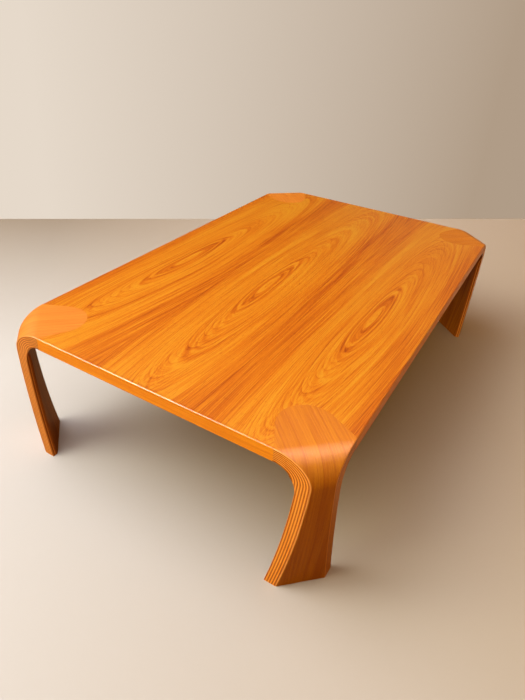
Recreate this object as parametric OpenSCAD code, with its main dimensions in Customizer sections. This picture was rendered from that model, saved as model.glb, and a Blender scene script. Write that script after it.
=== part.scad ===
// Low table for sitting on the floor: a veneered blockboard top on four bent plywood legs.
// Each leg board leaves the top flat, bends down over the cut corner and stands on its end grain.
// The flat end of the board is a half-moon tongue, let into the corner of the top with a hidden spline.
// Millimetres. Z is up, X runs along the table, the origin is on the floor under the middle of the top.

/* [Table] */
// Length of the top along X
top_l = 1210; // [900:10:1800]
// Width of the top along Y
top_w = 750; // [600:10:1000]
// Height of the top's surface above the floor
top_h = 325; // [260:5:420]

/* [Top panel] */
// Thickness of each face and back veneer leaf
veneer_t = 1; // [0.6:0.1:1.2]
// Thickness of each crossband under the veneers
crossband_t = 2.5; // [1.5:0.1:4]
// Thickness of the solid lipping round the core
lipping_t = 8; // [5:1:15]
// Width of the middle veneer leaf
middle_leaf_w = 250; // [200:5:300]
// Number of lumber staves in the core
stave_count = 16; // [8:1:24]
// Gap between neighbouring core staves
stave_gap = 0.3; // [0.1:0.1:0.8]

/* [Leg board] */
// Thickness of one ply
ply_t = 1.8; // [1.5:0.1:2]
// Number of plies, odd so that both faces run lengthwise
ply_count = 15; // [13:2:17]
// Outer radius of the bend
bend_r = 51; // [46:1:62]
// Inward lean of the leg where the bend ends, in degrees
lean = 2.5; // [0.5:0.1:5]
// Outer radius of the long bow from the bend to the floor
bow_r = 2400; // [1800:50:4000]
// Distance of the bend line from the corner, along each edge of the top
corner_cut = 102; // [95:1:130]
// Width of the leg's side face, flush with the edge of the top
side_face = 26; // [24:1:32]
// Radius of the hollow that eases the inner arris under the top
relief_r = 46; // [36:1:60]
// Drop of that hollow below the underside of the top
relief_drop = 1; // [0.5:0.1:3]

/* [Half-moon joint] */
// Reach of the tongue into the top, from the bend line
tongue_l = 98; // [85:1:115]
// Taper of each side of the tongue, in degrees
tongue_taper = 18; // [8:1:24]
// Number of plies that the spline is as thick as, odd so that it lies in the middle
spline_plies = 3; // [1:2:5]
// Reach of the spline to each side of the joint line
spline_reach = 12; // [8:1:16]
// Clearance at the bottom and the ends of the spline's groove
spline_gap = 0.3; // [0.1:0.1:0.6]
// Solid wood left between the groove and the edges of the table
spline_cover = 20; // [18:1:30]

/* [Hidden] */
$fn = 96;
root2 = sqrt(2);
board_t = ply_t * ply_count;
underside_z = top_h - board_t;
// Half the length of the bend line, from edge to edge of the table
bend_half = corner_cut / root2;
// Round end of the tongue, tangent to both of its tapered sides
tongue_r = (bend_half * cos(tongue_taper) - tongue_l * sin(tongue_taper)) / (1 - sin(tongue_taper));
tongue_centre = tongue_l - tongue_r;
// First and last ply that the spline's groove passes through
groove_first = (ply_count - spline_plies) / 2;
groove_last = groove_first + spline_plies;
spline_z = top_h - groove_last * ply_t;
spline_t = spline_plies * ply_t;
// Centre of the bow, in the section of the leg: distance out from the bend line and height
bow_out = -(bow_r - bend_r) * cos(lean);
bow_z = top_h - bend_r + (bow_r - bend_r) * sin(lean);
// Steps in a full turn of the bow, fine enough for its long radius
bow_steps = 1440;
// Hollow that eases the inner arris: its top, and the slope of the arris at its lower end
relief_top = underside_z - relief_drop;
relief_sine = (bow_z - relief_top + relief_r * (1 + root2 * sin(lean))) / bow_r;
arris_angle = atan(root2 * tan(asin(relief_sine)));
relief_low = relief_top - relief_r * (1 + sin(arris_angle));
// Flat steps that make up the round of the hollow, and the bow of the arris below it
relief_facets = 24;
arris_facets = 14;
// Longer than any cut through a corner
past = 3 * corner_cut;

near_left = [-1, 1];
near_right = [-1, -1];
far_left = [1, 1];
far_right = [1, -1];
corners = [near_left, near_right, far_left, far_right];

veneer_colour = "#E98A2B";
lipping_colour = "#F08A1E";
long_ply_colour = "#F0983C";
cross_ply_colour = "#B8560F";
core_colour = "#D9B382";
hidden_colour = "#C99A62";

// Puts a corner's own frame in place: its origin in the middle of the bend line, +X outwards
module at_corner(corner) {
  translate([corner[0] * (top_l - corner_cut) / 2, corner[1] * (top_w - corner_cut) / 2, 0])
    rotate([0, 0, atan2(corner[1], corner[0])]) children();
}

// Square with one corner where the edges of the table would meet, moved in by a margin
module inside_edges(margin) {
  translate([bend_half - margin * root2, 0]) rotate(135) square(past);
}

// Half-moon tongue, grown by a distance all along its outline, and running on past the bend line
module tongue_outline(grow) {
  end_r = tongue_r + grow;
  tangent_x = -tongue_centre - end_r * sin(tongue_taper);
  tangent_y = end_r * cos(tongue_taper);
  side_y = bend_half + grow / cos(tongue_taper);
  translate([-tongue_centre, 0]) circle(r = end_r);
  polygon([[0, side_y], [tangent_x, tangent_y], [tangent_x, -tangent_y], [0, -side_y],
           [past, -side_y], [past, side_y]]);
}

// What the corner of the top loses: the tongue, and all that lies past the bend line
module corner_notch() {
  tongue_outline(0);
  translate([0, -past / 2]) square(past);
}

// The spline's groove on one side of the joint line: outer edge and inner edge of the band
module groove_band(outer, inner, cover) {
  intersection() {
    difference() {
      tongue_outline(outer);
      tongue_outline(inner);
    }
    inside_edges(cover);
  }
}

// A sheet of the top with its four corners notched for the legs
module notched_sheet(z, t, x0, x1, y0, y1) {
  difference() {
    translate([x0, y0, z]) cube([x1 - x0, y1 - y0, t]);
    for (corner = corners)
      at_corner(corner) translate([0, 0, z - 1]) linear_extrude(t + 2) corner_notch();
  }
}

module veneer_leaf(z, y0, y1) {
  color(veneer_colour) notched_sheet(z, veneer_t, -top_l / 2, top_l / 2, y0, y1);
}
module left_leaf(z) { veneer_leaf(z, middle_leaf_w / 2, top_w / 2); }
module middle_leaf(z) { veneer_leaf(z, -middle_leaf_w / 2, middle_leaf_w / 2); }
module right_leaf(z) { veneer_leaf(z, -top_w / 2, -middle_leaf_w / 2); }

module crossband(z) {
  half_l = top_l / 2 - lipping_t;
  half_w = top_w / 2 - lipping_t;
  color(hidden_colour) notched_sheet(z, crossband_t, -half_l, half_l, -half_w, half_w);
}

// Lumber staves side by side, notched for the tongues and grooved for the splines
module core_staves() {
  z = underside_z + veneer_t + crossband_t;
  half_l = top_l / 2 - lipping_t;
  pitch = (top_w - 2 * lipping_t) / stave_count;
  color(core_colour)
    for (i = [0 : stave_count - 1]) {
      y0 = -top_w / 2 + lipping_t + i * pitch;
      low = i == 0 ? y0 : y0 + stave_gap / 2;
      high = i == stave_count - 1 ? y0 + pitch : y0 + pitch - stave_gap / 2;
      difference() {
        notched_sheet(z, board_t - 2 * (veneer_t + crossband_t), -half_l, half_l, low, high);
        for (corner = corners)
          at_corner(corner) translate([0, 0, spline_z]) linear_extrude(spline_t)
            groove_band(spline_reach + spline_gap, -0.01, spline_cover);
      }
    }
}

module lipping(x0, x1, y0, y1) {
  color(lipping_colour) notched_sheet(underside_z + veneer_t, board_t - 2 * veneer_t, x0, x1, y0, y1);
}
module end_lipping(side) {
  x = side * (top_l - lipping_t) / 2;
  lipping(x - lipping_t / 2, x + lipping_t / 2, -top_w / 2, top_w / 2);
}
module side_lipping(side) {
  y = side * (top_w - lipping_t) / 2;
  lipping(-top_l / 2, top_l / 2, y - lipping_t / 2, y + lipping_t / 2);
}

// Inner arris of the side face, seen square to the side: its distance from the corner of the
// table at a height, which keeps the side face equally wide all the way down
function arris_x(z) =
  corner_cut - root2 * (bow_out + sqrt(bow_r * bow_r - (z - bow_z) * (z - bow_z))) + side_face;

// Section of the board between two depths below its outer face: tongue, bend and bowed leg
module leg_section(depth0, depth1) {
  translate([-past, top_h - depth1]) square([past, depth1 - depth0]);
  translate([0, top_h - bend_r]) {
    intersection() {
      difference() {
        circle(r = bend_r - depth0);
        circle(r = bend_r - depth1);
      }
      polygon([[0, 0], [0, 2 * bend_r], [2 * bend_r, 2 * bend_r], [2 * bend_r, -2 * bend_r * tan(lean)]]);
    }
    intersection() {
      translate([bow_out, bow_z - top_h + bend_r]) difference() {
        circle(r = bow_r - depth0, $fn = bow_steps);
        circle(r = bow_r - depth1, $fn = bow_steps);
      }
      polygon([[-2 * bend_r, 0], [0, 0], [2 * bend_r, -2 * bend_r * tan(lean)],
               [2 * bend_r, -top_h], [-2 * bend_r, -top_h]]);
    }
  }
}

// Takes off the sharp inner arris along one side face: a round hollow, then a bow down the leg
module arris_relief() {
  centre = [arris_x(relief_low) + relief_r * cos(arris_angle), relief_top - relief_r];
  hollow = [for (i = [0 : relief_facets])
    let (angle = 90 + i * (90 + arris_angle) / relief_facets)
      centre + relief_r * [cos(angle), sin(angle)]];
  bow = [for (i = [1 : arris_facets])
    let (z = relief_low - (relief_low + 1) * i / arris_facets)
      [arris_x(z), z]];
  translate([bend_half, 0, 0]) rotate([0, 0, 135]) translate([0, past, 0]) rotate([90, 0, 0])
    linear_extrude(past + 1)
      polygon(concat(hollow, bow, [[past, -1], [past, centre[1]], centre]));
}

// Plan of the leg board: its sides flush with the edges of the table, and its tongue in the top
module board_plan() {
  linear_extrude(underside_z - relief_r) inside_edges(0);
  linear_extrude(top_h + 1) intersection() {
    tongue_outline(0);
    inside_edges(0);
  }
}

// One ply of the leg board, counted from the outer face: tongue, bend and leg in one piece
module ply(n) {
  grooved = n >= groove_first && n < groove_last;
  difference() {
    intersection() {
      translate([0, corner_cut, 0]) rotate([90, 0, 0]) linear_extrude(2 * corner_cut)
        leg_section(n * ply_t, (n + 1) * ply_t);
      board_plan();
    }
    arris_relief();
    mirror([0, 1, 0]) arris_relief();
    if (grooved)
      translate([0, 0, spline_z]) linear_extrude(spline_t)
        groove_band(1, -spline_reach - spline_gap, spline_cover);
  }
}

module face_ply(corner) { color(veneer_colour) at_corner(corner) ply(0); }
module inner_ply(corner) { color(long_ply_colour) at_corner(corner) ply(ply_count - 1); }
module long_plies(corner) {
  color(long_ply_colour) at_corner(corner) for (n = [2 : 2 : ply_count - 3]) ply(n);
}
module cross_plies(corner) {
  color(cross_ply_colour) at_corner(corner) for (n = [1 : 2 : ply_count - 2]) ply(n);
}

// Curved loose tongue, hidden half in the leg board and half in the core of the top
module spline(corner) {
  color(hidden_colour) at_corner(corner) translate([0, 0, spline_z]) linear_extrude(spline_t)
    groove_band(spline_reach, -spline_reach, spline_cover + spline_gap);
}

left_leaf(top_h - veneer_t);  // left_top_leaf
middle_leaf(top_h - veneer_t);  // middle_top_leaf
right_leaf(top_h - veneer_t);  // right_top_leaf
crossband(top_h - veneer_t - crossband_t);  // upper_crossband
core_staves();
crossband(underside_z + veneer_t);  // lower_crossband
left_leaf(underside_z);  // left_under_leaf
middle_leaf(underside_z);  // middle_under_leaf
right_leaf(underside_z);  // right_under_leaf
end_lipping(-1);  // near_end_lipping
end_lipping(1);  // far_end_lipping
side_lipping(1);  // left_side_lipping
side_lipping(-1);  // right_side_lipping
face_ply(near_left);  // near_left_face_ply
long_plies(near_left);  // near_left_long_plies
cross_plies(near_left);  // near_left_cross_plies
inner_ply(near_left);  // near_left_inner_ply
spline(near_left);  // near_left_spline
face_ply(near_right);  // near_right_face_ply
long_plies(near_right);  // near_right_long_plies
cross_plies(near_right);  // near_right_cross_plies
inner_ply(near_right);  // near_right_inner_ply
spline(near_right);  // near_right_spline
face_ply(far_left);  // far_left_face_ply
long_plies(far_left);  // far_left_long_plies
cross_plies(far_left);  // far_left_cross_plies
inner_ply(far_left);  // far_left_inner_ply
spline(far_left);  // far_left_spline
face_ply(far_right);  // far_right_face_ply
long_plies(far_right);  // far_right_long_plies
cross_plies(far_right);  // far_right_cross_plies
inner_ply(far_right);  // far_right_inner_ply
spline(far_right);  // far_right_spline
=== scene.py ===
"""Low floor table: a veneered top let on to four bent plywood legs with half-moon joints.

Lengths are in millimetres until a mesh is made, where they become metres. The frame is the
CAD's: X along the table, Y across it, Z up, the origin on the floor under the middle of the top.
Each leg has a corner frame of its own: "out" is the distance outward from the bend line and
"across" the distance along it.
"""

import math

import bmesh
import bpy
import numpy as np
from mathutils import Matrix, Vector


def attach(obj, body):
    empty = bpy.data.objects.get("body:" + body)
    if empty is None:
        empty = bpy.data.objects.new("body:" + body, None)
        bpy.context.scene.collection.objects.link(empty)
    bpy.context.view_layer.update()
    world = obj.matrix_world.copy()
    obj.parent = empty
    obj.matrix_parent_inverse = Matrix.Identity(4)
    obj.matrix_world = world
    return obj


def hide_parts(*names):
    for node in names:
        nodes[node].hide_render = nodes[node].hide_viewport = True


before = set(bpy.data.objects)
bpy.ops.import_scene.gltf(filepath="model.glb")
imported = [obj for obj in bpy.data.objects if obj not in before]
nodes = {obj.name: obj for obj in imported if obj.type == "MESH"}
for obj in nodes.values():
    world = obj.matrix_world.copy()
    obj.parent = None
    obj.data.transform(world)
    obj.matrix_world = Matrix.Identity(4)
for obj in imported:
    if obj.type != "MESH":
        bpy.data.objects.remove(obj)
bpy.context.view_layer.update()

# Sizes of the table, as in the CAD source

TOP_L = 1210.0
TOP_W = 750.0
TOP_H = 325.0
VENEER_T = 1.0
MIDDLE_LEAF_W = 250.0
PLY_T = 1.8
PLY_COUNT = 15
BEND_R = 51.0
LEAN = math.radians(2.5)
BOW_R = 2400.0
CORNER_CUT = 102.0
SIDE_FACE = 26.0
RELIEF_R = 46.0
RELIEF_DROP = 1.0
TONGUE_L = 98.0
TONGUE_TAPER = math.radians(18.0)

BOARD_T = PLY_T * PLY_COUNT
UNDERSIDE = TOP_H - BOARD_T
ROOT2 = math.sqrt(2.0)
BEND_HALF = CORNER_CUT / ROOT2
# Round end of the tongue, tangent to its two tapered sides, and how far its centre lies from the
# bend line
TONGUE_R = (BEND_HALF * math.cos(TONGUE_TAPER) - TONGUE_L * math.sin(TONGUE_TAPER)) / (
    1 - math.sin(TONGUE_TAPER))
TONGUE_CENTRE = TONGUE_L - TONGUE_R
# Where the tongue's round end runs into its straight sides, in the corner frame
TONGUE_TANGENT = -TONGUE_CENTRE - TONGUE_R * math.sin(TONGUE_TAPER)
AXIS_Z = TOP_H - BEND_R
# Centre of the leg's long bow, in the corner frame
BOW_OUT = -(BOW_R - BEND_R) * math.cos(LEAN)
BOW_Z = AXIS_Z + (BOW_R - BEND_R) * math.sin(LEAN)
# The relief's arc ends at RELIEF_END, tangent to the inner arris that follows the bow. The bow's
# angle there has RELIEF_SINE, worked out with the lean at the bend, and in the plane of the side
# face that slope is ROOT2 times as steep, ARRIS_ANGLE.
RELIEF_TOP = UNDERSIDE - RELIEF_DROP
RELIEF_Z = RELIEF_TOP - RELIEF_R
RELIEF_SINE = (BOW_Z - RELIEF_TOP + RELIEF_R * (1 + ROOT2 * math.sin(LEAN))) / BOW_R
ARRIS_ANGLE = math.atan(ROOT2 * math.tan(math.asin(RELIEF_SINE)))
RELIEF_END = RELIEF_Z - RELIEF_R * math.sin(ARRIS_ANGLE)

LIPPING_T = 8.0

# Softening of the outer arrises, by sanding before the lacquer, and of the inner ones
OUTER_EASE = 2.6
INNER_EASE = 1.0

# The signs of X and Y at each corner
CORNERS = {"near_left": (-1, 1), "near_right": (-1, -1), "far_left": (1, 1), "far_right": (1, -1)}
TO_METRES = 0.001

# Points nearer than the first are one point, and edges shorter than the second go, in metres.
# Edges over the angle stay sharp.
MERGE_REACH = 2e-6
SHORTEST_EDGE = 1e-6
SHARP_ANGLE = math.radians(35)

# Points round a half-moon, and depths at which an eased arris is worked out
MOON_STEPS = 49
SHEET_EASE_STEPS = 6
STRIP_EASE_STEPS = 5
# Kinds of row along a leg board
ON_TONGUE, ON_BEND, ON_LEG = range(3)
# How many rows there are: round the tongue's end, down its straight part, round the bend, and
# down the leg, closer together over the first share of it, where the side face is relieved
ROUND_ROWS = 22
STRAIGHT_ROWS = 7
BEND_ROWS = 49
UPPER_ROWS = 25
LOWER_ROWS = 13
UPPER_SHARE = 0.3
# The tongue's last row stops this far short of the bend line, where the side face starts
TONGUE_STOP = 0.02
# Depths at which a ply's side wall is worked out: in general, and beside an eased arris
WALL_STEPS = 5
EASED_WALL_STEPS = 9


# Meshes

def closed_piece(name, points, faces, board=None):
    """Closed mesh from points in millimetres and lists of corners. Points that coincide are
    merged, which closes the poles, and the faces are turned outward. board is each point's
    place in the flat, unbent board, which the grain follows."""
    mesh = bpy.data.meshes.new(name)
    mesh.from_pydata((np.asarray(points) * TO_METRES).tolist(), [], faces)
    if board is not None:
        mesh.attributes.new("board", "FLOAT_VECTOR", "POINT").data.foreach_set(
            "vector", (np.asarray(board) * TO_METRES).astype(np.float32).ravel())
    skin = bmesh.new()
    skin.from_mesh(mesh)
    bmesh.ops.remove_doubles(skin, verts=skin.verts, dist=MERGE_REACH)
    bmesh.ops.dissolve_degenerate(skin, edges=skin.edges, dist=SHORTEST_EDGE)
    bmesh.ops.recalc_face_normals(skin, faces=skin.faces)
    skin.to_mesh(mesh)
    skin.free()
    mesh.shade_smooth()
    mesh.set_sharp_from_angle(angle=SHARP_ANGLE)
    piece = bpy.data.objects.new(name, mesh)
    bpy.context.scene.collection.objects.link(piece)
    return piece


def dress(piece, material, slot, *replaced):
    """Gives a new piece its material, attaches it to the root body and hides the CAD nodes that it
    stands for. slot is not used.
    """
    piece.data.materials.append(material)
    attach(piece, "root")
    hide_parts(*replaced)


def to_table(corner, out, across, z):
    """Corner frame to table frame: out runs along the diagonal and across is square to it."""
    sx, sy = CORNERS[corner]
    mid_x, mid_y = sx * (TOP_L - CORNER_CUT) / 2, sy * (TOP_W - CORNER_CUT) / 2
    return np.stack([mid_x + (sx * out - sy * across) / ROOT2,
                     mid_y + (sy * out + sx * across) / ROOT2,
                     z + 0 * out], -1)


def eased(depth, ease):
    """How far a rounded arris draws in a wall at a depth below the face: ease (1 - sqrt(depth /
    ease))^2, a parabola tangent to the face and to the wall."""
    return ease * (1 - np.sqrt(np.clip(depth / ease, 0, 1))) ** 2


# Top veneer and lipping

def half_moon(corner):
    """Outline of the half-moon tongue from one edge of the table round to the other: a straight
    tapered side, the round end of radius TONGUE_R, and the other side."""
    turn = np.linspace(math.pi / 2 - TONGUE_TAPER, -math.pi / 2 + TONGUE_TAPER, MOON_STEPS)
    out = np.concatenate([[0], -TONGUE_CENTRE - TONGUE_R * np.cos(turn), [0]])
    across = np.concatenate([[BEND_HALF], TONGUE_R * np.sin(turn), [-BEND_HALF]])
    return to_table(corner, out, across, 0)[:, :2]


def eased_sheet(name, outline, rounded, top, thickness, ease):
    """Flat sheet whose top arris is rounded along some edges only: there, each ring of the
    outline is drawn in by eased(depth). A point moves so that each of the two edges that meet in
    it moves in by 1 where it is rounded and by 0 where not, which is two linear equations."""
    step = np.roll(outline, -1, 0) - outline
    inward = np.stack([-step[:, 1], step[:, 0]], 1) / np.linalg.norm(step, axis=1)[:, None]
    before = np.roll(inward, 1, 0)
    pull = np.stack([np.roll(rounded, 1), rounded], 1).astype(float)
    moves = np.zeros_like(outline)
    moved = pull.any(1)
    normals = np.stack([before, inward], 1)
    moves[moved] = np.linalg.solve(normals[moved], pull[moved][..., None])[..., 0]
    depth = thickness * np.linspace(0, 1, SHEET_EASE_STEPS) ** 2
    rings = [np.column_stack([outline + inset * moves, np.full(len(outline), top - d)])
             for inset, d in zip(eased(depth, ease), depth)]
    return rings_to_piece(name, rings)


def rings_to_piece(name, rings):
    """Joins rings of equal length with quads and closes the first and the last with a cap."""
    count, length = len(rings), len(rings[0])
    corner = np.arange(count * length).reshape(count, length)
    ahead = np.roll(corner, -1, 1)
    sides = np.stack([corner[:-1], ahead[:-1], ahead[1:], corner[1:]], -1).reshape(-1, 4)
    faces = sides.tolist() + [corner[0].tolist()[::-1], corner[-1].tolist()]
    return closed_piece(name, np.concatenate(rings), faces)


def leaf_outline(low, high):
    """Outline of a veneer leaf, anticlockwise, and which of its edges are edges of the table."""
    half_l, half_w = TOP_L / 2, TOP_W / 2
    cut_low, cut_high = low <= -half_w, high >= half_w
    points, outer = [], []

    def run(path, edge_of_table):
        """Adds a path of points. The edge that starts at its last point is the table's or not."""
        points.extend(path)
        outer.extend([False] * (len(path) - 1) + [edge_of_table])

    if cut_low:
        run(half_moon("near_right")[::-1].tolist(), True)
        run(half_moon("far_right")[::-1].tolist(), True)
    else:
        run([[-half_l, low]], False)
        run([[half_l, low]], True)
    if cut_high:
        run(half_moon("far_left")[::-1].tolist(), True)
        run(half_moon("near_left")[::-1].tolist(), True)
    else:
        run([[half_l, high]], False)
        run([[-half_l, high]], True)
    return np.array(points), np.array(outer)


def lipping_strip(name, side, along_x):
    """Solid wood strip between two legs: a profile drawn along an edge of the table. Each way, it
    runs for half the length between the cut corners less slope * inset, where the half-moon's
    straight side cuts it off, and its outer face is drawn in by eased(depth) near the top."""
    edge, other = (TOP_W, TOP_L) if along_x else (TOP_L, TOP_W)
    taper = math.tan(TONGUE_TAPER)
    slope = (1 - taper) / (1 + taper)
    back = BOARD_T - VENEER_T
    rounding = VENEER_T + (OUTER_EASE - VENEER_T) * np.linspace(0, 1, STRIP_EASE_STEPS)
    depth = np.concatenate([rounding, [back, back, VENEER_T]])
    inset = np.concatenate([eased(depth[:-2], OUTER_EASE), [LIPPING_T] * 2])
    rings = []
    for end in (-1, 1):
        run = end * (other / 2 - CORNER_CUT - slope * inset)
        across = side * (edge / 2 - inset)
        plan = (run, across) if along_x else (across, run)
        rings.append(np.stack([*plan, TOP_H - depth], 1))
    return rings_to_piece(name, rings)


# Bent leg boards

def arris_x(z):
    """Distance of the side face's inner arris from the corner of the table, at a height: it is
    SIDE_FACE from the outer arris, which follows the bow."""
    return CORNER_CUT - ROOT2 * (BOW_OUT + np.sqrt(BOW_R ** 2 - (z - BOW_Z) ** 2)) + SIDE_FACE


def side_limit(out, z):
    """Half the width of the board at a point of its section. The side face is flush with the
    edge of the table, at 45 degrees to the board. Below the top a second limit, square to that
    face, takes off its sharp inner arris: an arc of RELIEF_R, then the bow down the leg."""
    flush = BEND_HALF - out
    reach = np.clip(RELIEF_R ** 2 - (z - RELIEF_Z) ** 2, 0, None)
    arc = arris_x(RELIEF_END) + RELIEF_R * math.cos(ARRIS_ANGLE) - np.sqrt(reach)
    cut = np.where(z < RELIEF_END, arris_x(z), arc)
    no_limit = 10 * CORNER_CUT
    cut = np.where(z > RELIEF_TOP, no_limit, cut)
    return np.minimum(flush, ROOT2 * cut - BEND_HALF + out)


def board_rows():
    """Rows along the board: the kind of each and its place in it, which is the distance out on
    the tongue, the angle on the bend and the share of the way down on the bowed leg."""
    turn = np.linspace(0, math.pi / 2 - TONGUE_TAPER, ROUND_ROWS)
    tongue = np.concatenate([-TONGUE_CENTRE - TONGUE_R * np.cos(turn),
                             np.linspace(TONGUE_TANGENT, -TONGUE_STOP, STRAIGHT_ROWS)[1:]])
    bend = np.linspace(0, math.pi / 2 + LEAN, BEND_ROWS)
    leg = np.concatenate([np.linspace(0, UPPER_SHARE, UPPER_ROWS)[1:],
                          np.linspace(UPPER_SHARE, 1, LOWER_ROWS)[1:]])
    kinds = np.repeat([ON_TONGUE, ON_BEND, ON_LEG], [len(tongue), len(bend), len(leg)])
    return kinds, np.concatenate([tongue, bend, leg])


def section(depth):
    """Centre line of the board at a depth below its outer face: distance out, height, and the
    length along the board. The bend is an arc of BEND_R less the depth about a fixed axis, and
    the leg is an arc of BOW_R less the depth that runs on from it, tangent, to the floor."""
    kinds, place = board_rows()
    radius, bow = BEND_R - depth, BOW_R - depth
    angle = LEAN + (math.asin(BOW_Z / bow) - LEAN) * place
    tongue_or_bend = [kinds == ON_TONGUE, kinds == ON_BEND]
    out = np.select(tongue_or_bend, [place, radius * np.sin(place)],
                    BOW_OUT + bow * np.cos(angle))
    z = np.select(tongue_or_bend, [TOP_H - depth + 0 * place, AXIS_Z + radius * np.cos(place)],
                  BOW_Z - bow * np.sin(angle))
    along = np.select(tongue_or_bend, [place, radius * place],
                      radius * (math.pi / 2 + LEAN) + bow * (angle - LEAN))
    return out, z, along


def half_width(out, z, past_bend_line):
    """Half the width of the board: the half-moon's own outline on the tongue, and the side
    faces and their relief past the bend line."""
    past_round = np.clip(TONGUE_R ** 2 - (out + TONGUE_CENTRE) ** 2, 0, None)
    straight = BEND_HALF + out * math.tan(TONGUE_TAPER)
    tongue = np.where(out < TONGUE_TANGENT, np.sqrt(past_round), straight)
    return np.where(past_bend_line, side_limit(out, z), tongue)


def ply_grid(depth0, depth1):
    """One ply as a closed ring of points carried along the board. Returns points in the corner
    frame (out, across, z) and in the flat board (along, across, depth). The side wall is worked
    out at several depths, closer together near a face, and is drawn in by eased(depth) at the
    outer face and by eased(BOARD_T - depth) at the inner one."""
    depths = np.linspace(depth0, depth1, WALL_STEPS)
    if depth0 < OUTER_EASE:
        depths = depth0 + (depth1 - depth0) * np.linspace(0, 1, EASED_WALL_STEPS) ** 2
    if depth1 > BOARD_T - INNER_EASE:
        depths = depth1 - (depth1 - depth0) * np.linspace(1, 0, EASED_WALL_STEPS) ** 2
    layers = [section(d) for d in depths]
    out, z, along = (np.stack([layer[k] for layer in layers], 1) for k in range(3))
    past_bend_line = (board_rows()[0] != ON_TONGUE)[:, None]
    across = half_width(out, z, past_bend_line) - past_bend_line * (
        eased(depths, OUTER_EASE) + eased(BOARD_T - depths, INNER_EASE))
    half = np.stack([out, across, z, along, across, depths + 0 * out], -1)
    both_across = [1, 4]
    middle_face, middle_back = half[:, :1].copy(), half[:, -1:].copy()
    middle_face[..., both_across] = 0
    middle_back[..., both_across] = 0
    other = half[:, ::-1].copy()
    other[..., both_across] *= -1
    ring = np.concatenate([middle_face, half, middle_back, other], 1)
    return ring[..., :3], ring[..., 3:]


def plies(name, corner, numbers):
    """The plies with these numbers, counted from the outer face, as one piece of closed solids."""
    points, flat, faces, start = [], [], [], 0
    for n in numbers:
        place, board = ply_grid(n * PLY_T, (n + 1) * PLY_T)
        rows, ring = place.shape[:2]
        index = start + np.arange(rows * ring).reshape(rows, ring)
        ahead = np.roll(index, -1, 1)
        sides = np.stack([index[:-1], ahead[:-1], ahead[1:], index[1:]], -1)
        faces += sides.reshape(-1, 4).tolist()
        faces.append(index[-1].tolist())
        points.append(to_table(corner, place[..., 0], place[..., 1], place[..., 2]).reshape(-1, 3))
        flat.append(board.reshape(-1, 3))
        start += rows * ring
    return closed_piece(name, np.concatenate(points), faces, np.concatenate(flat))


# Wood and lacquer

def linear(hex_colour):
    """sRGB hex colour as linear RGBA."""
    share = [int(hex_colour[i:i + 2], 16) / 255 for i in (1, 3, 5)]
    return tuple(c / 12.92 if c <= 0.04045 else ((c + 0.055) / 1.055) ** 2.4
                 for c in share) + (1.0,)


def put(tree, kind, links=None, stops=None, **settings):
    """Adds a node, sets its properties, and fills its inputs from a dict: another node stands for
    its first output, a socket is linked, and anything else is the value. stops fills a ramp."""
    made = tree.nodes.new(kind)
    for key, value in settings.items():
        setattr(made, key, value)
    if stops:
        ramp = made.color_ramp
        while len(ramp.elements) < len(stops):
            ramp.elements.new(0.5)
        for element, (place, colour) in zip(ramp.elements, stops):
            element.position = place
            element.color = colour
    for key, value in (links or {}).items():
        if isinstance(value, bpy.types.Node):
            value = value.outputs[0]
        if isinstance(value, bpy.types.NodeSocket):
            tree.links.new(value, made.inputs[key])
        else:
            made.inputs[key].default_value = value
    return made


def grey(level):
    """A ramp stop that carries a plain number."""
    return (level, level, level, 1.0)


def new_material(name):
    """Empty node material, and its node tree."""
    made = bpy.data.materials.new(name)
    made.use_nodes = True
    made.node_tree.nodes.clear()
    return made, made.node_tree


# Clear sprayed lacquer, which gives the eye a soft satin shine that leaves the grain clear. Depth
# of the grain's relief in metres, index of the lacquer sunk into the wood, and index and
# roughness of the film on top.
GRAIN_RELIEF = 0.0004
SUNK_INDEX = 1.45
FILM_INDEX = 1.5
FILM_ROUGHNESS = 0.24


def lacquer(tree, colour, height, roughness=0.31, coat=0.3, bump=0.1):
    """Satin clear lacquer over wood: a soft broad shine from the grain and a thinner one from
    the film on top."""
    relief = put(tree, "ShaderNodeBump", {"Strength": bump, "Distance": GRAIN_RELIEF,
                                          "Height": height})
    shader = put(tree, "ShaderNodeBsdfPrincipled", {
        "Base Color": colour, "Roughness": roughness, "IOR": SUNK_INDEX, "Normal": relief,
        "Coat Weight": coat, "Coat Roughness": FILM_ROUGHNESS, "Coat IOR": FILM_INDEX})
    put(tree, "ShaderNodeOutputMaterial", {"Surface": shader})


def fibres(tree, vector, across_mm, stretch, detail=3.0):
    """Noise drawn out along the first coordinate: across_mm wide and stretch times as long."""
    fine = 1000 / across_mm
    return put(tree, "ShaderNodeTexNoise", {
        "Vector": put(tree, "ShaderNodeMapping", {
            "Vector": vector, "Scale": (fine / stretch, fine, fine)}),
        "Scale": 1.0, "Detail": detail, "Roughness": 0.6})


# Width of a pore and of a hair-fine streak. Real ones are about 0.3 mm wide, too fine to show.
PORE_MM = 0.9
# Depths, in metres, between which a face board's face tone gives way to its edge tone
EDGE_FROM = 0.0002
EDGE_FULL = 0.0006


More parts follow.
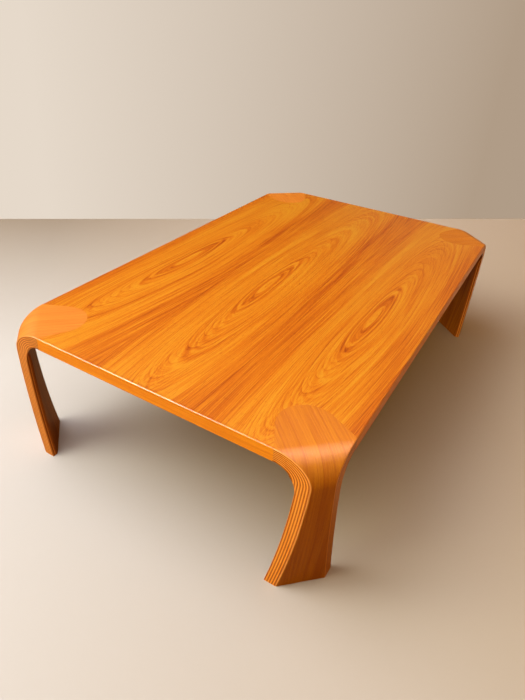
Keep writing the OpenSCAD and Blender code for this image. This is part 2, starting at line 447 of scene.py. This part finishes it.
def straight_wood(name, pale, deep, along="board", roughness=0.42, coat=0.3, bump=0.25,
                  streak_mm=2.2, pore=0.5, band_mm=26.0, turn=0.0, edge=None):
    """Straight-grained wood under lacquer. Streaks of streak_mm wide run 60 times as long with
    the grain, wider bands shift the tone, and short dark pores break them up. The grain runs
    along the first coordinate, of the board attribute or of the object turned by an angle. On
    a face board, edge colours the ply's own edge, which starts EDGE_FROM below the face."""
    made, tree = new_material(name)
    if along == "board":
        source = put(tree, "ShaderNodeAttribute", attribute_name="board", attribute_type="GEOMETRY")
        vector = source.outputs["Vector"]
    else:
        source = put(tree, "ShaderNodeTexCoord")
        vector = put(tree, "ShaderNodeMapping", {"Vector": source.outputs["Object"],
                                                 "Rotation": (0, 0, turn)}).outputs[0]
    streaks = fibres(tree, vector, streak_mm, stretch=60)
    bands = fibres(tree, vector, band_mm, stretch=14, detail=2.0)
    pores = fibres(tree, vector, PORE_MM, stretch=12, detail=1.0)
    # Each noise lies round 0.5, so their sum lies round 1, from the deep tone to the pale one
    tone = put(tree, "ShaderNodeMath", {0: streaks, 1: bands}, operation="ADD")
    tone = put(tree, "ShaderNodeMapRange", {"Value": tone, "From Min": 0.80, "From Max": 1.20})
    wood = put(tree, "ShaderNodeMix", {"Factor": tone.outputs[0], 6: linear(deep),
                                       7: linear(pale)}, data_type="RGBA")
    # Only the crests of the finest noise are pores
    pit = put(tree, "ShaderNodeMapRange", {"Value": pores, "From Min": 0.60, "From Max": 0.72,
                                           "To Max": pore})
    colour = put(tree, "ShaderNodeMix", {"Factor": pit.outputs[0], 6: wood.outputs[2],
                                         7: linear(deep)}, data_type="RGBA", blend_type="MULTIPLY")
    if edge:
        depth = put(tree, "ShaderNodeSeparateXYZ", {"Vector": vector}).outputs["Z"]
        below = put(tree, "ShaderNodeMapRange", {"Value": depth, "From Min": EDGE_FROM,
                                                 "From Max": EDGE_FULL})
        colour = put(tree, "ShaderNodeMix", {"Factor": below.outputs[0], 6: colour.outputs[2],
                                             7: linear(edge)}, data_type="RGBA")
    height = put(tree, "ShaderNodeMath", {0: tone.outputs[0], 1: pit.outputs[0]},
                 operation="SUBTRACT")
    lacquer(tree, colour.outputs[2], height, roughness, coat, bump)
    return made


# Place of the eyes along the table, in metres, and what a distance along the grain counts for in
# the ovals' radius beside one across it, to the left and to the right of the eye
EYE_X = -0.110
LEFT_SHARE = 0.116
RIGHT_SHARE = 0.105
# Width of a growth ring, and how many waves of unevenness there are in a metre of radius
RING_MM = 3.5
UNEVEN_WAVES = 140.0
# The ramps over the radius end at this radius, in metres
RAMP_REACH = 0.1


def crown_cut_veneer(name, eye_y, tilt, slice_shift):
    """Crown-cut veneer of one leaf: nested pointed ovals round an eye, which open to nearly
    straight lines at the leaf's edges. The oval radius is the length of (s, t), where t is the
    distance across, leaned by tilt left of the eye, and s is the distance along times LEFT_SHARE
    left of the eye and RIGHT_SHARE right of it. A growth ring is every RING_MM of that radius."""
    made, tree = new_material(name)
    place = put(tree, "ShaderNodeTexCoord").outputs["Object"]
    centred = put(tree, "ShaderNodeMapping", {
        "Vector": place, "Location": (-EYE_X, -eye_y, slice_shift)})

    def wander(vector, along_mm, across_mm, shift, detail):
        """Moves the pattern by noise of a size, up to half of shift each way."""
        noise = put(tree, "ShaderNodeTexNoise", {
            "Vector": put(tree, "ShaderNodeMapping", {
                "Vector": vector, "Scale": (1000 / along_mm, 1000 / across_mm, 1000 / across_mm)}),
            "Scale": 1.0, "Detail": detail, "Roughness": 0.5})
        swing = put(tree, "ShaderNodeVectorMath", {
            0: noise.outputs["Color"], 1: (0.5, 0.5, 0.5)}, operation="SUBTRACT")
        return put(tree, "ShaderNodeVectorMath", {0: swing, 1: shift, 2: vector},
                   operation="MULTIPLY_ADD")

    bent = wander(centred, along_mm=450, across_mm=110, shift=(0.06, 0.006, 0.0), detail=1.0)
    bent = wander(bent, along_mm=40, across_mm=10, shift=(0.006, 0.0006, 0.0), detail=2.0)
    parts = put(tree, "ShaderNodeSeparateXYZ", {"Vector": bent})
    left = put(tree, "ShaderNodeMath", {0: parts.outputs["X"], 1: 0.0}, operation="MINIMUM")
    s = put(tree, "ShaderNodeMath", {0: parts.outputs["X"], 1: RIGHT_SHARE}, operation="MULTIPLY")
    s = put(tree, "ShaderNodeMath", {0: left, 1: LEFT_SHARE - RIGHT_SHARE, 2: s},
            operation="MULTIPLY_ADD")
    t = put(tree, "ShaderNodeMath", {0: left, 1: tilt, 2: parts.outputs["Y"]},
            operation="MULTIPLY_ADD")
    oval = put(tree, "ShaderNodeCombineXYZ", {"X": s, "Y": t})
    radius = put(tree, "ShaderNodeVectorMath", {0: oval}, operation="LENGTH").outputs["Value"]
    # Some rings are wider and some deeper, by noise over the radius alone
    uneven = put(tree, "ShaderNodeTexNoise", {"W": put(tree, "ShaderNodeMath", {
        0: radius, 1: UNEVEN_WAVES}, operation="MULTIPLY"), "Detail": 3.0},
        noise_dimensions="1D")
    count = put(tree, "ShaderNodeMath", {0: radius, 1: 1000 / RING_MM}, operation="MULTIPLY")
    count = put(tree, "ShaderNodeMath", {0: uneven.outputs[0], 1: 1.0, 2: count},
                operation="MULTIPLY_ADD")
    ring = put(tree, "ShaderNodeMath", {0: count}, operation="FRACT")
    line = put(tree, "ShaderNodeValToRGB", {"Fac": ring}, stops=[
        (0.0, grey(0.35)), (0.2, grey(0.2)), (0.55, grey(0.0)), (0.78, grey(0.1)),
        (0.9, grey(1.0)), (1.0, grey(0.35))])
    # Rings start 20 mm from the eye, are strong there and fade to soft streaks by 90 mm
    far = put(tree, "ShaderNodeMath", {0: radius, 1: 1 / RAMP_REACH}, operation="MULTIPLY")
    fade = put(tree, "ShaderNodeValToRGB", {"Fac": far}, stops=[
        (0.0, grey(0.0)), (0.20, grey(0.0)), (0.24, grey(0.46)), (0.50, grey(0.38)),
        (0.90, grey(0.16))])
    # Right of the eye the rings are fainter
    right = put(tree, "ShaderNodeMapRange", {"Value": parts.outputs["X"], "From Min": 0.05,
                                             "From Max": 0.30, "To Min": 1.0, "To Max": 0.45})
    fade = put(tree, "ShaderNodeMath", {0: fade, 1: right.outputs[0]}, operation="MULTIPLY")
    # The pale eye is 7 mm each way. Round it lie a deeper zone, a thin pale ring at 16.5 mm, and
    # a thin deep one.
    zone = put(tree, "ShaderNodeValToRGB", {"Fac": far}, stops=[
        (0.0, grey(0.0)), (0.060, grey(0.0)), (0.078, grey(0.42)), (0.105, grey(0.34)),
        (0.145, grey(0.40)), (0.158, grey(0.0)), (0.172, grey(0.0)), (0.184, grey(0.48)),
        (0.200, grey(0.44)), (0.216, grey(0.08)), (0.24, grey(0.0))])
    # The outer parts of a leaf, from 62 to 108 mm across from the eye, get a little deeper
    away = put(tree, "ShaderNodeSeparateXYZ", {"Vector": centred})
    away = put(tree, "ShaderNodeMath", {0: away.outputs["Y"]}, operation="ABSOLUTE")
    edge = put(tree, "ShaderNodeMapRange", {"Value": away, "From Min": 0.062,
                                            "From Max": 0.108}, interpolation_type="SMOOTHSTEP")
    # Streaks follow the rings: across them runs the radius, and 0.35 t makes the two sides differ
    across = put(tree, "ShaderNodeMath", {0: t, 1: 0.35, 2: radius}, operation="MULTIPLY_ADD")
    grain = put(tree, "ShaderNodeCombineXYZ", {"X": parts.outputs["X"], "Y": across,
                                               "Z": parts.outputs["Z"]}).outputs[0]
    streaks = fibres(tree, grain, across_mm=2.4, stretch=120)
    hairs = fibres(tree, bent, PORE_MM, stretch=110, detail=1.0)
    bands = fibres(tree, grain, across_mm=15.0, stretch=36, detail=2.0)
    # Past the first rings, whole years differ in tone too
    years = put(tree, "ShaderNodeMath", {0: uneven, 1: 0.5}, operation="SUBTRACT")
    yearly = put(tree, "ShaderNodeMapRange", {"Value": radius, "From Min": 0.025,
                                              "From Max": 0.055, "To Max": 0.9})
    # Each share, times its weight, moves the tone from the palest wood, 0, to the deepest, 1
    dark = -1.50
    for share, weight in ((streaks, 1.7), (hairs, 0.9), (bands, 0.8), (line, fade), (zone, 1.0),
                          (years, yearly), (edge, 0.30)):
        dark = put(tree, "ShaderNodeMath", {0: share, 1: weight, 2: dark},
                   operation="MULTIPLY_ADD")
    dark.use_clamp = True
    wood = put(tree, "ShaderNodeValToRGB", {"Fac": dark}, stops=[
        (0.0, linear("#D2901E")), (0.35, linear("#CC770C")), (0.7, linear("#B85C02")),
        (1.0, linear("#923C00"))])
    pores = fibres(tree, bent, PORE_MM, stretch=14, detail=1.0)
    pit = put(tree, "ShaderNodeMapRange", {"Value": pores, "From Min": 0.60, "From Max": 0.74,
                                           "To Max": 0.55})
    colour = put(tree, "ShaderNodeMix", {"Factor": pit.outputs[0], 6: wood, 7: linear("#C8702A")},
                 data_type="RGBA", blend_type="MULTIPLY")
    height = put(tree, "ShaderNodeMath", {0: dark, 1: pit.outputs[0]}, operation="ADD")
    lacquer(tree, colour.outputs[2], height)
    return made


# Top leaves: sliced and sanded hardwood veneer in reddish orange, where the figure's dark lines
# are clear round the eye and silky further out. Low and high edge of each leaf, its eye, the lean
# of its figure, and how far its slice lies from the first, which changes the figure slightly.
LEAVES = {"left": (MIDDLE_LEAF_W / 2, TOP_W / 2, 0.265, 0.05, 0.0),
          "middle": (-MIDDLE_LEAF_W / 2, MIDDLE_LEAF_W / 2, 0.019, -0.03, 0.004),
          "right": (-TOP_W / 2, -MIDDLE_LEAF_W / 2, -0.255, 0.025, 0.009)}
for side, (low, high, *figure) in LEAVES.items():
    outline, outer = leaf_outline(low, high)
    leaf = eased_sheet(side + "_top_veneer", outline, outer, TOP_H, VENEER_T, OUTER_EASE)
    veneer = crown_cut_veneer(side + "_crown_cut_veneer", *figure)
    dress(leaf, veneer, "face_veneer", side + "_top_leaf")

# Leg faces: straight-grained hardwood veneer, sanded, in an even orange with soft streaks. All four
# legs are of one wood, in lit and shaded copies: the window side's veneer is paler, which is
# painted light, the room side's is deeper, which is painted shade, and the window side's plies are
# darker and flatter, which is painted shade.
window_side_veneer_painted_light = straight_wood("window_side_leg_veneer", "#DC8C2C", "#CE761A", streak_mm=4.0,
                                   band_mm=20.0, edge="#DE9C4C", pore=0.25)
room_side_veneer_painted_shade = straight_wood("room_side_leg_veneer", "#D0800C", "#BC6704", streak_mm=3.6,
                                 bump=0.8, band_mm=20.0, edge="#FCAE58", pore=0.3)
# The inner faces of the legs get a browner, deeper copy of the veneer: painted shade for the shade
# under the table
inner_veneer_painted_shade = straight_wood("leg_inner_veneer", "#B46A14", "#8C4604", streak_mm=3.0)
# Sanded plywood edges: lengthwise plies show pale side grain, crosswise plies dark end grain
long_ply = straight_wood("long_ply_edge", "#FFB54C", "#FC9C2C", streak_mm=0.8, bump=0.4)
cross_ply = straight_wood("cross_ply_edge", "#D26F14", "#A14B06", streak_mm=0.8, bump=0.4)
# Window-side copies of the ply edges, darker and flatter than the room side's: painted shade
window_side_long_ply_painted_shade = straight_wood("window_side_long_ply_edge", "#F0A44C", "#E6963A",
                               streak_mm=0.8, bump=0.2)
window_side_cross_ply_painted_shade = straight_wood("window_side_cross_ply_edge", "#C26A26", "#AC5A1A",
                                streak_mm=0.8, bump=0.2)
# Each leg takes the copies for its side of the table: painted light and painted shade
for corner, (_, side) in CORNERS.items():
    face, along, across = ((window_side_veneer_painted_light, window_side_long_ply_painted_shade, window_side_cross_ply_painted_shade) if side > 0
                           else (room_side_veneer_painted_shade, long_ply, cross_ply))
    dress(plies(corner + "_face_board", corner, [0]), face, "leg_face_veneer",
          corner + "_face_ply")
    dress(plies(corner + "_long_ply_edges", corner, range(2, PLY_COUNT - 1, 2)), along,
          "long_ply", corner + "_long_plies")
    dress(plies(corner + "_cross_ply_edges", corner, range(1, PLY_COUNT, 2)), across,
          "cross_ply", corner + "_cross_plies")
    dress(plies(corner + "_inner_board", corner, [PLY_COUNT - 1]), inner_veneer_painted_shade,
          "leg_inner_veneer", corner + "_inner_ply")

# Lippings: planed strips of solid hardwood, brighter and yellower than the veneer, with the grain
# along the edge
QUARTER_TURN = math.pi / 2
for name, side, along_x in (("near_end", -1, False), ("far_end", 1, False),
                            ("left_side", 1, True), ("right_side", -1, True)):
    wood = straight_wood(name + "_lipping_wood", "#FFA51A", "#EB8A0C", "object", streak_mm=2.0,
                         turn=0.0 if along_x else QUARTER_TURN)
    dress(lipping_strip(name + "_lipping_strip", side, along_x), wood, "edge_lipping",
          name + "_lipping")

# CAD pieces that stay, with their own woods

# The back veneer is sanded and bare, so it looks dull. The crossbands of sliced veneer, the sawn
# core lumber and the plywood splines are raw, pale and duller still.
under_veneer = straight_wood("under_veneer", "#E0913F", "#B9681F", "object", streak_mm=4.0,
                             roughness=0.6, coat=0.0)
crossband = straight_wood("crossband", "#D8AE76", "#BE8D53", "object", turn=QUARTER_TURN,
                          roughness=0.75, coat=0.0)
core_lumber = straight_wood("core_lumber", "#E3C193", "#CBA06A", "object", streak_mm=5.0,
                            roughness=0.75, coat=0.0)
spline_ply = straight_wood("spline_plywood", "#D8AE76", "#BE8D53", "object",
                           roughness=0.75, coat=0.0)
WOODS = {"upper_crossband": crossband, "lower_crossband": crossband, "core_staves": core_lumber,
         "left_under_leaf": under_veneer, "middle_under_leaf": under_veneer,
         "right_under_leaf": under_veneer}
for corner in CORNERS:
    WOODS[corner + "_spline"] = spline_ply
for name, wood in WOODS.items():
    nodes[name].data.materials.clear()
    nodes[name].data.materials.append(wood)

# Floor, backdrop, light and camera

def flat_stage(name, corners, material):
    """Staged four-cornered plane, for the floor or the backdrop, in metres."""
    mesh = bpy.data.meshes.new(name)
    mesh.from_pydata(corners, [], [(0, 1, 2, 3)])
    mesh.materials.append(material)
    plane = bpy.data.objects.new(name, mesh)
    bpy.context.scene.collection.objects.link(plane)


# Level directions square to the wall behind the table and along it, to the right
WALL_FACING = math.radians(39.5)
TOWARD_WALL = Vector((math.cos(WALL_FACING), math.sin(WALL_FACING), 0))
ALONG_WALL = Vector((math.sin(WALL_FACING), -math.cos(WALL_FACING), 0))
WALL_DISTANCE = 1.243
WALL_HEIGHT = 8
FLOOR_REACH = 30.0
# Places, in metres, between which the floor's tones change: past the table's near end, beyond its
# right edge, and from left to right and toward the wall, where the floor's painted light and shade
# change. The wall's painted light changes from the left to the right.
PAST_NEAR_END = (-0.45, -0.25)
BEYOND_RIGHT_EDGE = (-0.36, -0.44)
FLOOR_RIGHTWARD = (-0.8, 0.5)
FLOOR_TO_WALL = (0.1, 1.3)
WALL_RIGHTWARD = (-0.85, 1.2)

# Floor: matt paint, soft. The camera sees it pale, with painted light and shade, and so does the
# lacquer's shine beside the table's right edge, but the light that it throws back up is dim and
# warm.
floor_paint, tree = new_material("pale_floor")
rays = put(tree, "ShaderNodeLightPath")
floor_place = put(tree, "ShaderNodeTexCoord").outputs["Object"]
place = put(tree, "ShaderNodeSeparateXYZ", {"Vector": floor_place})
past_end = put(tree, "ShaderNodeMapRange", {
    "Value": place.outputs["X"], "From Min": PAST_NEAR_END[0], "From Max": PAST_NEAR_END[1]})
beside = put(tree, "ShaderNodeMapRange", {
    "Value": place.outputs["Y"], "From Min": BEYOND_RIGHT_EDGE[0],
    "From Max": BEYOND_RIGHT_EDGE[1]})
beside = put(tree, "ShaderNodeMath", {0: past_end.outputs[0], 1: beside.outputs[0]},
             operation="MULTIPLY")
beside = put(tree, "ShaderNodeMath", {0: rays.outputs["Is Glossy Ray"], 1: beside},
             operation="MULTIPLY")
shade = put(tree, "ShaderNodeMix", {"Factor": beside, 6: linear("#664A28"),
                                    7: linear("#B4A088")}, data_type="RGBA")
# Painted light and shade: what the camera sees is paler on the left and darker on the right near
# it, and darker on the left and paler on the right by the wall, as the light falls off
toward = put(tree, "ShaderNodeVectorMath", {0: floor_place, 1: TOWARD_WALL},
             operation="DOT_PRODUCT")
rightward = put(tree, "ShaderNodeVectorMath", {0: floor_place, 1: ALONG_WALL},
                operation="DOT_PRODUCT")
rightward = put(tree, "ShaderNodeMapRange", {
    "Value": rightward.outputs["Value"], "From Min": FLOOR_RIGHTWARD[0],
    "From Max": FLOOR_RIGHTWARD[1]})
near_camera = put(tree, "ShaderNodeMix", {"Factor": rightward.outputs[0], 6: linear("#C0C4CC"),
                                          7: linear("#B2A89B")}, data_type="RGBA")
by_wall = put(tree, "ShaderNodeMix", {"Factor": rightward.outputs[0], 6: linear("#8F877F"),
                                      7: linear("#C4BEBC")}, data_type="RGBA")
toward = put(tree, "ShaderNodeMapRange", {
    "Value": toward.outputs["Value"], "From Min": FLOOR_TO_WALL[0], "From Max": FLOOR_TO_WALL[1]})
seen = put(tree, "ShaderNodeMix", {"Factor": toward.outputs[0], 6: near_camera.outputs[2],
                                   7: by_wall.outputs[2]}, data_type="RGBA")
shade = put(tree, "ShaderNodeMix", {"Factor": rays.outputs["Is Camera Ray"], 6: shade.outputs[2],
                                    7: seen.outputs[2]}, data_type="RGBA")
stage_shader = put(tree, "ShaderNodeBsdfPrincipled", {"Base Color": shade.outputs[2], "Roughness": 0.8,
                                               "Specular IOR Level": 0.2})
# From below, the camera sees through the floor to the table's underside
below = put(tree, "ShaderNodeMath", {0: rays.outputs["Is Camera Ray"],
                                     1: put(tree, "ShaderNodeNewGeometry").outputs["Backfacing"]},
            operation="MULTIPLY")
put(tree, "ShaderNodeOutputMaterial", {"Surface": put(tree, "ShaderNodeMixShader", {
    0: below, 1: stage_shader, 2: put(tree, "ShaderNodeBsdfTransparent")})})
flat_stage("floor", [(-FLOOR_REACH, -FLOOR_REACH, 0), (FLOOR_REACH, -FLOOR_REACH, 0),
                     (FLOOR_REACH, FLOOR_REACH, 0), (-FLOOR_REACH, FLOOR_REACH, 0)], floor_paint)

# Wall behind the table: a glowing surface, not a lit one, whose colour is painted light: paler to
# the left and darker to the right. Only the camera sees it, and only from the table's side, so that
# it takes no light from the object and never hides it.
wall_glow, tree = new_material("pale_wall")
offset = put(tree, "ShaderNodeVectorMath", {
    0: put(tree, "ShaderNodeTexCoord").outputs["Object"], 1: ALONG_WALL}, operation="DOT_PRODUCT")
share = put(tree, "ShaderNodeMapRange", {
    "Value": offset.outputs["Value"], "From Min": WALL_RIGHTWARD[0],
    "From Max": WALL_RIGHTWARD[1]})
shade = put(tree, "ShaderNodeMix", {"Factor": share.outputs[0], 6: linear("#E6D9CA"),
                                    7: linear("#B09C87")}, data_type="RGBA")
# Emission: the wall glows with its painted light instead of being lit by the lamps
stage_shader = put(tree, "ShaderNodeEmission", {"Color": shade.outputs[2]})
front = put(tree, "ShaderNodeMath", {0: put(tree, "ShaderNodeLightPath").outputs["Is Camera Ray"],
                                     1: put(tree, "ShaderNodeNewGeometry").outputs["Backfacing"]},
            operation="SUBTRACT", use_clamp=True)
put(tree, "ShaderNodeOutputMaterial", {"Surface": put(tree, "ShaderNodeMixShader", {
    0: front, 1: put(tree, "ShaderNodeBsdfTransparent"), 2: stage_shader})})
right_end, left_end = [TOWARD_WALL * WALL_DISTANCE + ALONG_WALL * FLOOR_REACH * side
                       for side in (1, -1)]
flat_stage("wall", [(right_end.x, right_end.y, 0), (right_end.x, right_end.y, WALL_HEIGHT),
                    (left_end.x, left_end.y, WALL_HEIGHT), (left_end.x, left_end.y, 0)],
           wall_glow)

# A dim, warm, even room lights the object. The camera sees it pale, and the lacquer's shine
# sees a soft change from a pale side, which lies to the right and below, to a dark one.
world = bpy.data.worlds.new("studio")
bpy.context.scene.world = world
world.use_nodes = True
tree = world.node_tree
tree.nodes.clear()
rays = put(tree, "ShaderNodeLightPath")
fill = put(tree, "ShaderNodeBackground", {"Color": linear("#FFB64C"), "Strength": 0.42})
backdrop = put(tree, "ShaderNodeBackground", {"Color": linear("#DCCDBA"), "Strength": 1.0})
PALE_SIDE = Vector((0.421, -0.811, -0.403))
aspect = put(tree, "ShaderNodeVectorMath", {
    0: put(tree, "ShaderNodeTexCoord").outputs["Generated"], 1: PALE_SIDE},
    operation="DOT_PRODUCT")
shine = put(tree, "ShaderNodeMapRange", {"Value": aspect.outputs["Value"], "From Min": -0.04,
                                         "From Max": 0.08, "To Min": 0.05, "To Max": 0.22})
shine = put(tree, "ShaderNodeBackground", {"Color": linear("#E8D2BC"),
                                           "Strength": shine.outputs[0]})
room = put(tree, "ShaderNodeMixShader", {0: rays.outputs["Is Glossy Ray"], 1: fill, 2: shine})
put(tree, "ShaderNodeOutputWorld", {"Surface": put(tree, "ShaderNodeMixShader", {
    0: rays.outputs["Is Camera Ray"], 1: room, 2: backdrop})})


def soft_box(name, gives, place, target, width, height, power, colour):
    """Rectangular area lamp at a place, facing a target, both in metres. It gives "level",
    which is light without a reflection of the lamp, or "shine", the reflection alone."""
    lamp = bpy.data.lights.new(name, "AREA")
    lamp.shape = "RECTANGLE"
    lamp.size, lamp.size_y = width, height
    lamp.energy = power
    lamp.color = linear(colour)[:3]
    holder = bpy.data.objects.new(name, lamp)
    bpy.context.scene.collection.objects.link(holder)
    holder.location = place
    holder.rotation_euler = (Vector(target) - Vector(place)).to_track_quat("-Z", "Y").to_euler()
    holder.visible_diffuse = gives == "level"
    holder.visible_glossy = gives == "shine"


# Daylight from the left, high and low, and from two soft ceilings. Sizes are in metres and
# powers in watts.
TABLE_MIDDLE = (0, 0, 0.2)
soft_box("window", "level", (-5.2, 4.5, 5.2), TABLE_MIDDLE, 6.0, 4.0, 390, "#FFF4CC")
soft_box("low_window", "level", (-6.5, 5.6, 1.7), TABLE_MIDDLE, 4.5, 2.4, 214, "#FFF4CC")
soft_box("left_ceiling", "level", (-1.1, 1.7, 3.2), (-0.2, 0.2, 0.2), 3.0, 3.0, 99, "#FFFFFF")
soft_box("front_ceiling", "level", (-1.2, 0.2, 3.0), (-0.4, 0, 0.2), 3.0, 3.0, 33, "#FFFFFF")
# The line of light along the near arris, and the pale band on the near right bend
NEAR_EDGE = (-0.6, 0, 0.3)
NEAR_BEND = (-0.56, -0.33, 0.3)
soft_box("arris_shine", "shine", (-2.1, 2.14, 3.35), NEAR_EDGE, 1.3, 2.6, 540, "#FFF4F0")
soft_box("bend_shine", "shine", (0.3, -0.6, 2.6), NEAR_BEND, 2.0, 1.1, 44, "#FFE6D2")
soft_box("low_bend_shine", "shine", (-0.2, -1.1, 2.7), NEAR_BEND, 2.2, 1.5, 30, "#FFE6D2")

# Calibrated camera: place in metres, turns, and the focal length and optical centre in pixels
# of a frame of FRAME_WIDE by FRAME_LONG
CAMERA_YAW = math.radians(30.190)
CAMERA_PITCH = math.radians(30.163)
CAMERA_ROLL = math.radians(-3.321)
CAMERA_PLACE = (-1.211264, -0.554869, 0.953649)
FRAME_WIDE, FRAME_LONG = 525, 700
FOCAL_PIXELS = 561.422
CENTRE_X, CENTRE_Y = 242.719, 315.350
SENSOR = 36.0
FOCAL = FOCAL_PIXELS / FRAME_LONG * SENSOR
SHIFT = ((FRAME_WIDE / 2 - CENTRE_X) / FRAME_LONG, (CENTRE_Y - FRAME_LONG / 2) / FRAME_LONG)
ahead = Vector((math.cos(CAMERA_YAW) * math.cos(CAMERA_PITCH),
                math.sin(CAMERA_YAW) * math.cos(CAMERA_PITCH), -math.sin(CAMERA_PITCH)))
level = Vector((math.sin(CAMERA_YAW), -math.cos(CAMERA_YAW), 0))
downward = ahead.cross(level)
right = level * math.cos(CAMERA_ROLL) + downward * math.sin(CAMERA_ROLL)
down = downward * math.cos(CAMERA_ROLL) - level * math.sin(CAMERA_ROLL)
lens = bpy.data.cameras.new("camera")
lens.sensor_width, lens.lens = SENSOR, FOCAL
lens.shift_x, lens.shift_y = SHIFT
lens.clip_end = 200
camera = bpy.data.objects.new("camera", lens)
bpy.context.scene.collection.objects.link(camera)
camera.matrix_world = Matrix.Translation(CAMERA_PLACE) @ Matrix(
    (right, -down, -ahead)).transposed().to_4x4()
bpy.context.scene.camera = camera
bpy.context.scene.view_settings.view_transform = "Standard"

bpy.context.view_layer.update()
